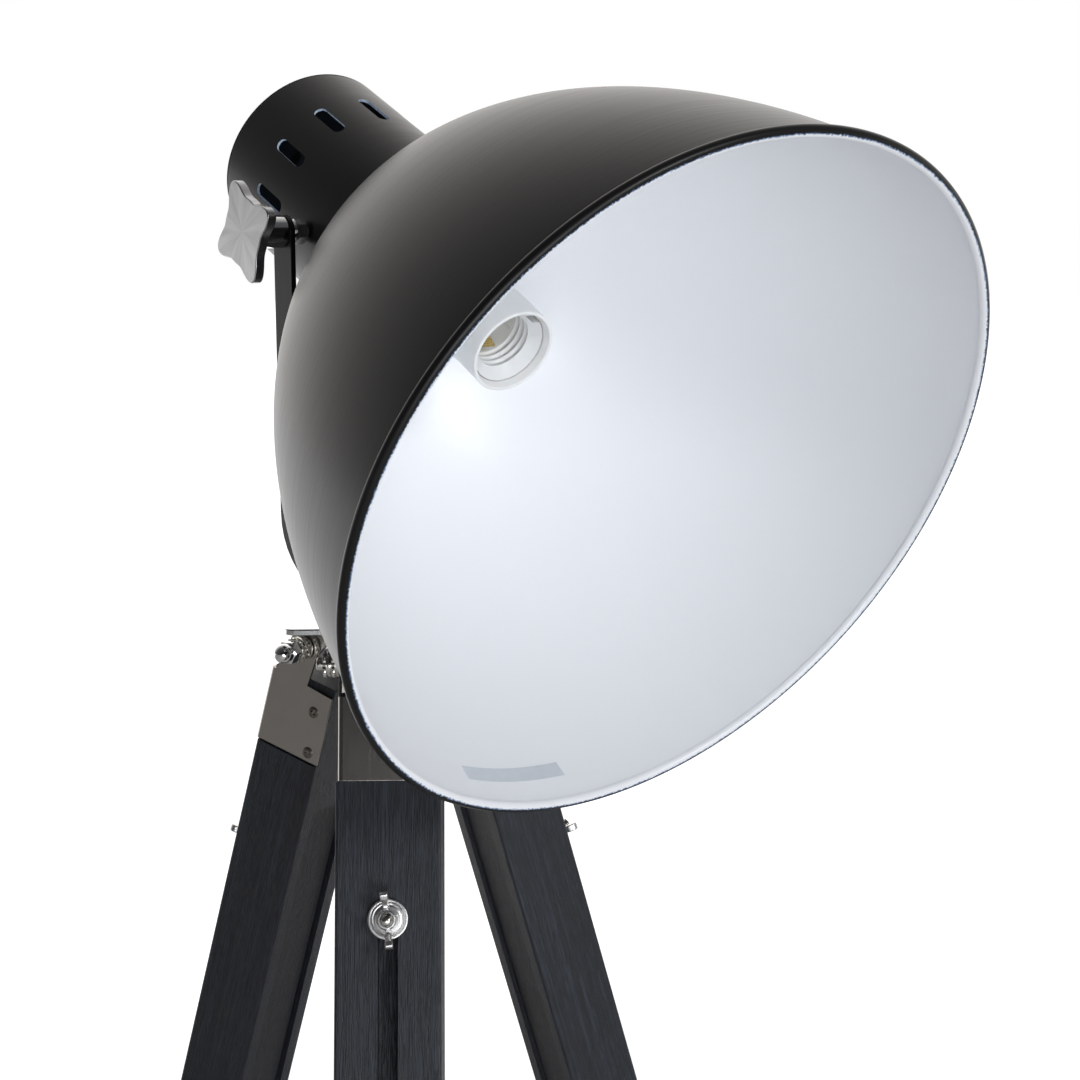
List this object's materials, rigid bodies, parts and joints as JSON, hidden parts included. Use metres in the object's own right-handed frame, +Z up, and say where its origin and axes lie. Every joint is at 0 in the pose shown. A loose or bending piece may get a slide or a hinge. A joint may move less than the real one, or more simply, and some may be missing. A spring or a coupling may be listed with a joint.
{
  "type": "tripod floor lamp",
  "caption": "Black dome shade on a tilting and panning yoke over a folding tripod with telescopic wooden legs and nickel fittings.",
  "frame": {"origin": "middle of the plan bounding box at floor level, legs retracted; the tripod axis stands 66.2 mm behind it at x 0, y +0.0662", "axes": "+Z up; -Y towards the front leg; at rest the shade heads 37.7 degrees from -Y towards +X and 26.7 degrees below the horizontal"},
  "size_m": [0.5238, 0.4536, 1.0999],
  "materials": {
    "black_paint": "satin black paint over spun steel, white inside the shade",
    "black_wood": "black-stained open-grain wood, satin",
    "nickel": "brushed nickel plate",
    "chrome": "polished",
    "white_plastic": "moulded white, satin",
    "brass": "plain brass",
    "black_rubber": "matt"
  },
  "bodies": {
    "tripod_head": {"head_plate": "nickel", "pan_washer": "nickel", "pan_bolt": "nickel", "pan_nut": "nickel", "clevis_front": "nickel", "hinge_bolt_front": "nickel", "hinge_lock_nut_front": "nickel", "acorn_nut_front": "chrome", "clevis_right": "nickel", "hinge_bolt_right": "nickel", "hinge_lock_nut_right": "nickel", "acorn_nut_right": "chrome", "clevis_left": "nickel", "hinge_bolt_left": "nickel", "hinge_lock_nut_left": "nickel", "acorn_nut_left": "chrome"},
    "front_upper_leg": {"leg_bracket_front": "nickel", "upper_leg_front": "black_wood"},
    "front_lower_leg": {"lower_leg_front": "black_wood", "foot_front": "black_rubber", "clamp_stud_front": "nickel", "clamp_washer_front": "nickel"},
    "front_wing_nut": {"wing_nut_front": "nickel"},
    "right_upper_leg": {"leg_bracket_right": "nickel", "upper_leg_right": "black_wood"},
    "right_lower_leg": {"lower_leg_right": "black_wood", "foot_right": "black_rubber", "clamp_stud_right": "nickel", "clamp_washer_right": "nickel"},
    "right_wing_nut": {"wing_nut_right": "nickel"},
    "left_upper_leg": {"leg_bracket_left": "nickel", "upper_leg_left": "black_wood"},
    "left_lower_leg": {"lower_leg_left": "black_wood", "foot_left": "black_rubber", "clamp_stud_left": "nickel", "clamp_washer_left": "nickel"},
    "left_wing_nut": {"wing_nut_left": "nickel"},
    "yoke": {"yoke_bracket": "black_paint"},
    "shade": {"shade_dome": "black_paint", "rear_housing": "black_paint", "housing_cap": "black_paint", "cable_gland": "black_rubber", "lampholder_body": "white_plastic", "lampholder_thread": "white_plastic", "lamp_contact": "brass", "lampholder_collar": "white_plastic", "lamp_nipple": "nickel", "inner_strap": "nickel", "nipple_nut": "nickel", "tilt_bolt_right": "nickel", "tilt_nut_right": "nickel", "tilt_bolt_left": "nickel", "tilt_nut_left": "nickel"},
    "right_knob": {"star_knob_right": "nickel"},
    "left_knob": {"star_knob_left": "nickel"}
  },
  "joints": [
    {"name": "front_leg_fold", "type": "hinge", "parent": "tripod_head", "child": "front_upper_leg", "pos_m": [0, 0.02819, 0.828], "axis": [1, 0, 0], "range_deg": [0, 16.6]},
    {"name": "front_leg_slide", "type": "slide", "parent": "front_upper_leg", "child": "front_lower_leg", "axis": [0, -0.2857, -0.9583], "range_m": [0, 0.4]},
    {"name": "front_wing_nut_turn", "type": "hinge", "parent": "front_lower_leg", "child": "front_wing_nut", "pos_m": [0, -0.01823, 0.72131], "axis": [0, -0.9583, 0.2857], "continuous": true},
    {"name": "right_leg_fold", "type": "hinge", "parent": "tripod_head", "child": "right_upper_leg", "pos_m": [0.03291, 0.08519, 0.828], "axis": [-0.5, 0.866, 0], "range_deg": [0, 16.6]},
    {"name": "right_leg_slide", "type": "slide", "parent": "right_upper_leg", "child": "right_lower_leg", "axis": [0.2474, 0.1428, -0.9583], "range_m": [0, 0.4]},
    {"name": "right_wing_nut_turn", "type": "hinge", "parent": "right_lower_leg", "child": "right_wing_nut", "pos_m": [0.0731, 0.10839, 0.72131], "axis": [0.8299, 0.4792, 0.2857], "continuous": true},
    {"name": "left_leg_fold", "type": "hinge", "parent": "tripod_head", "child": "left_upper_leg", "pos_m": [-0.03291, 0.08519, 0.828], "axis": [-0.5, -0.866, 0], "range_deg": [0, 16.6]},
    {"name": "left_leg_slide", "type": "slide", "parent": "left_upper_leg", "child": "left_lower_leg", "axis": [-0.2474, 0.1428, -0.9583], "range_m": [0, 0.4]},
    {"name": "left_wing_nut_turn", "type": "hinge", "parent": "left_lower_leg", "child": "left_wing_nut", "pos_m": [-0.0731, 0.10839, 0.72131], "axis": [-0.8299, 0.4792, 0.2857], "continuous": true},
    {"name": "yoke_pan", "type": "hinge", "parent": "tripod_head", "child": "yoke", "pos_m": [0, 0.06619, 0.8454], "axis": [0, 0, 1], "range_deg": [-175, 175]},
    {"name": "shade_tilt", "type": "hinge", "parent": "yoke", "child": "shade", "pos_m": [0, 0.06619, 1.0257], "axis": [-0.7912, -0.6115, 0], "range_deg": [-2.5, 110]},
    {"name": "right_knob_turn", "type": "hinge", "parent": "shade", "child": "right_knob", "pos_m": [0.04747, 0.10288, 1.0257], "axis": [0.7912, 0.6115, 0], "continuous": true},
    {"name": "left_knob_turn", "type": "hinge", "parent": "shade", "child": "left_knob", "pos_m": [-0.04747, 0.02949, 1.0257], "axis": [-0.7912, -0.6115, 0], "continuous": true}
  ]
}
